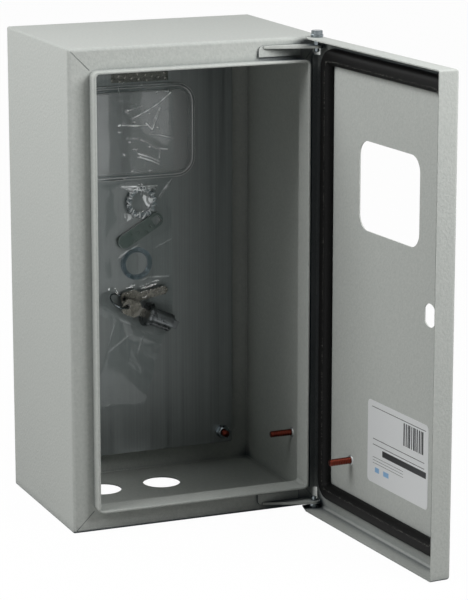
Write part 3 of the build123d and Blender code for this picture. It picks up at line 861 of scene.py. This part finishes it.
def plate_studs(copper):
    """The four threaded studs that carry the mounting plate."""
    low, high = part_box("plate_studs")
    points, faces = [], []
    for x in (low.x + stud_radius, high.x - stud_radius):
        for z in (low.z + stud_radius, high.z - stud_radius):
            foot = Vector((x, high.y, z))
            more, rings = threaded_stud(foot, Vector((0, -1, 0)), high.y - low.y)
            faces += shifted(rings, len(points))
            points += more
    studs = piece_from("plate_stud_threads", points, faces, copper, "enclosure")
    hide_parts("plate_studs")


def split_ring(finish):
    """The keys' split ring: nearly two flat turns of wire, side by side."""
    solid = np.array([v.co for v in frame["nodes"]["key_ring"].data.vertices])
    centre = (solid.min(0) + solid.max(0)) / 2
    across, along, normal = np.linalg.svd(solid - solid.mean(0), full_matrices=False)[2]
    from_axis = solid - centre
    wire = np.ptp(from_axis @ normal)
    radius = np.hypot(from_axis @ across, from_axis @ along).max() - wire / 2
    steps = int(ring_turns * ring_steps_per_turn)
    points = []
    for step in range(steps + 1):
        angle = 2 * math.pi * ring_turns * step / steps
        out = across * math.cos(angle) + along * math.sin(angle)
        offset = normal * wire * (step / steps - 0.5) / 2
        for side in range(ring_wire_sides):
            turn = 2 * math.pi * side / ring_wire_sides
            bulge = out * math.cos(turn) * wire / 2 + normal * math.sin(turn) * wire / 4
            points.append(centre + out * radius + offset + bulge)
    faces = grid_faces(steps + 1, ring_wire_sides, loop_columns=True)
    faces.append(tuple(range(ring_wire_sides)))
    faces.append(tuple(range(steps * ring_wire_sides, (steps + 1) * ring_wire_sides))[::-1])
    ring = piece_from("split_key_ring", points, faces, finish, "enclosure")
    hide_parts("key_ring")


def moulded_pane(finish):
    """The spare window pane: a beaded flange, and a step that fits the opening in the door."""
    low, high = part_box("window_pane")
    centre = (low + high) / 2
    places, outward = rounded_loop(high.x - low.x, high.z - low.z, pane_corner_radius)
    points, brightness = [], []
    for inset, rise, bright in pane_section:
        for place, out in zip(places, outward):
            spot = place - out * inset * MM
            points.append((centre.x + spot.x, high.y - rise * MM, centre.z + spot.y))
            brightness.append(bright)
    count = len(places)
    faces = grid_faces(len(pane_section), count, loop_columns=True)
    faces.append(tuple(range(count))[::-1])
    faces.append(tuple(range(len(points) - count, len(points))))
    sheet = piece_from("moulded_window_pane", points, faces, finish, "enclosure")
    mark_points(sheet, "crease", brightness)
    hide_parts("window_pane")


def fitting_heights(across, up, plate_y):
    """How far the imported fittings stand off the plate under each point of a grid."""
    points, faces = [], []
    for name in fittings:
        mesh = frame["nodes"][name].data
        faces += shifted([p.vertices for p in mesh.polygons], len(points))
        points += [v.co for v in mesh.vertices]
    tree = BVHTree.FromPolygons(points, faces)
    start_y = plate_y - 100 * MM
    heights = np.zeros_like(across)
    for spot, x in np.ndenumerate(across):
        hit = tree.ray_cast(Vector((x, start_y, up[spot])), Vector((0, 1, 0)))[0]
        if hit is not None:
            heights[spot] = plate_y - hit.y
    return heights


def off_run(across, up, run):
    """Distance of every grid point from a run of straight pieces."""
    nearest = np.full(across.shape, np.inf)
    for (x0, z0), (x1, z1) in zip(run, run[1:]):
        dx, dz = (x1 - x0) * MM, (z1 - z0) * MM
        from_x, from_z = across - x0 * MM, up - z0 * MM
        along = np.clip((from_x * dx + from_z * dz) / (dx * dx + dz * dz), 0, 1)
        nearest = np.minimum(nearest, np.hypot(from_x - along * dx, from_z - along * dz))
    return nearest


def within_run(across, up, run):
    """Where the grid points lie inside a closed run."""
    inside = np.zeros(across.shape, bool)
    for (x0, z0), (x1, z1) in zip(run, run[1:] + run[:1]):
        crosses = (up < z0 * MM) != (up < z1 * MM)
        meet = x0 * MM + (up - z0 * MM) * (x1 - x0) / (z1 - z0)
        inside ^= crosses & (across < meet)
    return inside


def painted_facet_strokes(across, up):
    """Painted highlight over a crushed facet: flat bright strokes with dull gaps between."""
    stroke, sway = 2.6 * MM, 3.1 * MM
    lean, gap, dull = 0.6, 0.38, 0.2
    slant = (across + lean * up) / stroke + np.sin(up / sway)
    return dull + (1 - dull) * (np.abs(slant % 2 - 1) > gap)


def flicker(across, up):
    """How a crease's glint comes and goes along its run."""
    wide, tall = 2.1 * MM, 1.7 * MM
    return 1 - crease_flicker + crease_flicker * np.sin(across / wide + up / tall)


def loose_waves(across, up):
    """Slow waves of film that isn't pulled tight, from 0 to 2."""
    wide, tall = 7 * MM, 11 * MM
    bend, slant = 19 * MM, 23 * MM
    return 1 + np.sin(across / wide + 2 * np.sin(up / bend)) * np.sin(up / tall + across / slant)


def crushed_round(place):
    """Short creases, as runs in millimetres, crossing the rim of a round fitting in a zigzag."""
    runs = []
    turn = 2 * math.pi / rim_creases
    for step in range(rim_creases):
        ends = []
        for reach in (chance.uniform(*rim_crease_start), chance.uniform(*rim_crease_end)):
            angle = turn * (step + chance.uniform(*rim_crease_lean))
            ends.append((place[0] + reach * math.cos(angle), place[1] + reach * math.sin(angle)))
        runs.append((chance.uniform(*rim_crease_glint), tuple(ends)))
    return tuple(runs)


def stray_glints():
    """Very short creases with painted glints, as runs in millimetres, scattered where the film lies on the pane.
    """
    runs = []
    for _ in range(glints):
        start = (chance.uniform(*glint_across), chance.uniform(*glint_up))
        angle, length = chance.uniform(*glint_slant), chance.uniform(*glint_length)
        end = (start[0] + length * math.cos(angle), start[1] + length * math.sin(angle))
        runs.append((chance.uniform(*glint_brightness), (start, end)))
    return tuple(runs)


def film_bag(finish):
    """The accessory bag: clear film drawn over the fittings like a skin and creased by handling."""
    low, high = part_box("accessory_bag")
    plate_y = high.y
    zs = np.arange(low.z, high.z + film_step / 2, film_step)
    heights, lefts, rights = (np.array(side) * MM for side in zip(*bag_sides))
    left = np.interp(zs, heights, lefts)[:, None]
    right = np.interp(zs, heights, rights)[:, None]
    across = left + (right - left) * np.linspace(0, 1, film_columns)
    up = np.repeat(zs[:, None], film_columns, 1)
    under = fitting_heights(across, up, plate_y)
    under = np.where(under > 0, under + film_clearance, film_rest)
    film = under.copy()
    for _ in range(film_rounds):
        mean = (film[:-2, 1:-1] + film[2:, 1:-1] + film[1:-1, :-2] + film[1:-1, 2:]) / 4
        film[1:-1, 1:-1] = np.maximum(under[1:-1, 1:-1], mean * film_pull)
    # Whitening of creases together with painted glints and highlights, read by the film's finish
    whitening_and_glint = np.zeros_like(film)
    nut_low, nut_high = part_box("lock_nut")
    nut_place = ((nut_low.x + nut_high.x) / 2 / MM, (nut_low.z + nut_high.z) / 2 / MM)
    for strength, run in creases + crushed_round(nut_place) + stray_glints():
        fold = np.exp(-((off_run(across, up, run) / crease_width) ** 2))
        whitening_and_glint = np.maximum(whitening_and_glint, strength * fold * flicker(across, up))
        film += fold * crease_height
    for strength, run in facets:
        bright = strength * within_run(across, up, run) * painted_facet_strokes(across, up)
        whitening_and_glint = np.maximum(whitening_and_glint, bright)
    film += loose_waves(across, up) * film_ripple
    film = np.minimum(film, plate_y - low.y)
    points = np.stack([across, plate_y - film, up], 2).reshape(-1, 3)
    faces = grid_faces(len(zs), film_columns)
    bag = piece_from("accessory_film_bag", points, faces, finish, "enclosure")
    mark_points(bag, "crease", whitening_and_glint.ravel())
    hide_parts("accessory_bag")


def tape_strip(finish):
    """The sticky tape over the bag's top edge, with small bubbles, lifted creases, and a painted glint where it
    lifts most.
    """
    # Bubbles as waves over the grid, in radians a step
    wave_along, wave_over, slant = 0.9, 0.7, 0.13
    bend, bend_over = 1.3, 0.8
    fold_start, fold_glint = 0.8, 3
    low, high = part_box("bag_tape")
    points, fold_glints = [], []
    for r in range(tape_rows):
        for c in range(tape_columns):
            x = low.x + (high.x - low.x) * c / (tape_columns - 1)
            z = low.z + (high.z - low.z) * r / (tape_rows - 1)
            along = math.sin(c * wave_along + bend * math.sin(r * bend_over))
            lift = 0.5 + 0.5 * along * math.sin(r * wave_over + c * slant)
            points.append((x, high.y - lift * (high.y - low.y), z))
            # Painted glint on the most lifted parts of the tape
            fold_glints.append(max(0.0, lift - fold_start) * fold_glint)
    faces = grid_faces(tape_rows, tape_columns)
    tape = piece_from("bag_tape_strip", points, faces, finish, "enclosure")
    mark_points(tape, "crease", fold_glints)
    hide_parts("bag_tape")


def soft_box(name, place, size, power):
    """A square studio lamp at a place, turned to face the box."""
    lamp = bpy.data.lights.new(name, "AREA")
    lamp.shape = "SQUARE"
    lamp.size = size
    lamp.energy = power
    made = bpy.data.objects.new(name, lamp)
    made.location = place
    made.rotation_euler = (lamp_aim - Vector(place)).to_track_quat("-Z", "Y").to_euler()
    bpy.context.scene.collection.objects.link(made)


def seen_by_eye(tree):
    """1 for rays from the eye, straight or by way of metal and clear plastic; 0 for lighting."""
    path = add(tree, "ShaderNodeLightPath")
    rays = ("Is Camera Ray", "Is Glossy Ray", "Is Transmission Ray")
    return joined(tree, [path.outputs[ray] for ray in rays], "MAXIMUM")


def studio_floor():
    """A plain matt floor under the box, which the eye sees as a white background."""
    finish, tree = finish_named("studio_floor_white")
    seen = seen_by_eye(tree)
    share = add(tree, "ShaderNodeMath", {0: seen, 1: floor_white_share}, operation="MULTIPLY")
    shade = add(
        tree, "ShaderNodeMix", {0: seen, 6: srgb("#b4b4b2"), 7: srgb("#fafafa")}, data_type="RGBA"
    )
    plain = add(tree, "ShaderNodeBsdfDiffuse", {"Color": shade.outputs[2]})
    glow = add(tree, "ShaderNodeEmission", {"Color": srgb("#ffffff"), "Strength": 1.0})
    mixed = add(
        tree,
        "ShaderNodeMixShader",
        {0: share.outputs[0], 1: plain.outputs[0], 2: glow.outputs[0]},
    )
    add(tree, "ShaderNodeOutputMaterial", {"Surface": mixed.outputs[0]})
    sides = ((-1, -1), (1, -1), (1, 1), (-1, 1))
    corners = [(x * floor_reach, y * floor_reach, cad_low.z) for x, y in sides]
    floor = mesh_object("studio_floor", corners, [(0, 1, 2, 3)], finish)


def studio_room():
    """White surroundings for the eye, with a faint even light on the box."""
    world = bpy.data.worlds.new("studio_light")
    world.use_nodes = True
    tree = world.node_tree
    tree.nodes.clear()
    dim = add(tree, "ShaderNodeBackground", {"Color": srgb("#f2f5f8"), "Strength": room_light})
    white = add(tree, "ShaderNodeBackground", {"Color": srgb("#ffffff"), "Strength": 1.0})
    mixed = add(
        tree,
        "ShaderNodeMixShader",
        {0: seen_by_eye(tree), 1: dim.outputs[0], 2: white.outputs[0]},
    )
    add(tree, "ShaderNodeOutputWorld", {"Surface": mixed.outputs[0]})
    bpy.context.scene.world = world


def studio_camera():
    """The camera at the photograph's angle."""
    camera = bpy.data.objects.new("camera", bpy.data.cameras.new("camera"))
    camera.data.lens = camera_lens
    camera.data.sensor_width = camera_sensor
    camera.data.clip_end = camera_reach
    camera.location = camera_place
    camera.rotation_euler = (math.pi / 2 - camera_elevation, 0, camera_azimuth)
    bpy.context.scene.collection.objects.link(camera)
    bpy.context.scene.camera = camera


# Light grey powder coat on folded sheet: satin, with painted shade deep in gaps; over welds the painted shade
# reaches only 0.3 mm, so it stays even
paint = powder_coat("powder_coat_light_grey", recess_depth=17 * MM)
weld_paint = powder_coat("powder_coat_over_weld", recess_depth=0.3 * MM)
# Bright zinc on turned and pressed steel: cool grey with sharp glints
zinc = plated_metal("zinc_plated_steel", "#5a6266", "#9aa2a6", roughness=0.18, grain=3 * MM)
# Copper flash on weld studs: dark red-brown with a soft gloss
copper = plated_metal("copper_plated_steel", "#3d1b15", "#713428", roughness=0.38, grain=1.2 * MM)
# Zinc die casting of the lock: mid grey with broad highlights
casting = plated_metal("zinc_die_casting", "#55585a", "#7f8284", roughness=0.3, grain=4 * MM)
# Passivated zinc on stamped steel: greenish grey and dull
passivated = plated_metal(
    "passivated_zinc_steel", "#4d5753", "#616c68", roughness=0.34, grain=4 * MM
)
# Bare steel of the weld collars: pale and matt
bare = plated_metal("bare_weld_steel", "#8f9292", "#b9bcbc", roughness=0.5, grain=1.2 * MM)
# Nickel over brass on the stamped keys: warm grey with a worn shine
brass = plated_metal("nickel_plated_brass", "#585650", "#8f8b82", roughness=0.28, grain=3 * MM)
foam = closed_cell_foam()
# Thin bag film: all but invisible, save for its reflections and its creases with their whitening and painted
# glints
film = clear_sheet(
    "clear_film_thin",
    tint="#fbfdfd",
    haze=0.02,
    haze_colour="#fbffff",
    roughness=0.03,
    ior=1.5,
    ripple=0.02 * MM,
)
# Sticky tape: slightly brown and hazy
tape = clear_sheet(
    "clear_tape_film",
    tint="#c9c9c2",
    haze=0.10,
    haze_colour="#d8d8d0",
    roughness=0.12,
    ior=1.5,
    ripple=0.1 * MM,
)
# Soft sealing polymer: milky and bluish
seal = clear_sheet(
    "soft_polymer_translucent",
    tint="#dbe4e8",
    haze=0.3,
    haze_colour="#b9c9d3",
    roughness=0.12,
    ior=1.5,
    ripple=0.05 * MM,
)
# Moulded polycarbonate window: clear and glossy, with painted highlights on its moulded edges
pane = clear_sheet(
    "clear_moulded_plastic",
    tint="#f6f8f8",
    haze=0.03,
    haze_colour="#f4f1f1",
    roughness=0.015,
    ior=1.585,
    ripple=0.01 * MM,
)

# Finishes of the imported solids
finishes = {
    paint: ("enclosure_body", "upper_hinge_bracket", "lower_hinge_bracket", "door_panel"),
    zinc: (
        "upper_hinge_bolt",
        "upper_hinge_washer",
        "lower_hinge_pin",
        "plate_spacers",
        "plate_washers",
        "plate_nuts",
        "lock_nut",
        "key_ring",
    ),
    copper: ("door_earth_stud", "wall_earth_stud", "plate_studs"),
    galvanised_sheet(): ("mounting_plate",),
    casting: ("lock_body", "lock_plug"),
    passivated: ("lock_cam",),
    brass: ("inserted_key", "spare_key"),
    seal: ("seal_ring",),
    pane: ("window_pane",),
    film: ("accessory_bag",),
    tape: ("bag_tape",),
    foam: ("door_gasket",),
    sticker_paper(): ("door_label",),
}
for finish, names in finishes.items():
    for name in names:
        slots = frame["nodes"][name].data.materials
        slots.clear()
        slots.append(finish)

# Modelled pieces
stud_mount = next(m for m in frame["record"]["mounts"] if m["name"] == "door_earth_stud")
stud_axis = Vector(stud_mount["axis"])
stud_middle = stud_mount["dims"]["length_mm"] * MM / 2
stud_length = stud_mount["dims"]["length_mm"] * MM + collar_height + stud_chamfer
door_foot = Vector(stud_mount["pos_m"]) - stud_axis * (stud_middle + collar_height)
door_stand = (door_foot, stud_axis, stud_length)
earth_stud("door_stud_thread", "door_earth_stud", door_stand, "door", bare, copper)
wall_low, wall_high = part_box("wall_earth_stud")
wall_middle = (wall_low + wall_high) / 2
wall_foot = Vector((wall_high.x, wall_middle.y, wall_middle.z))
wall_stand = (wall_foot, Vector((-1, 0, 0)), stud_length)
earth_stud("wall_stud_thread", "wall_earth_stud", wall_stand, "enclosure", bare, copper)
plate_studs(copper)
foam_gasket(foam)
split_ring(zinc)
moulded_pane(pane)
film_bag(film)
tape_strip(tape)
lip_welds(weld_paint)

studio_floor()
studio_room()
for name, (place, size, power) in soft_boxes.items():
    soft_box(name, place, size, power)
studio_camera()
bpy.context.scene.view_settings.view_transform = "Standard"
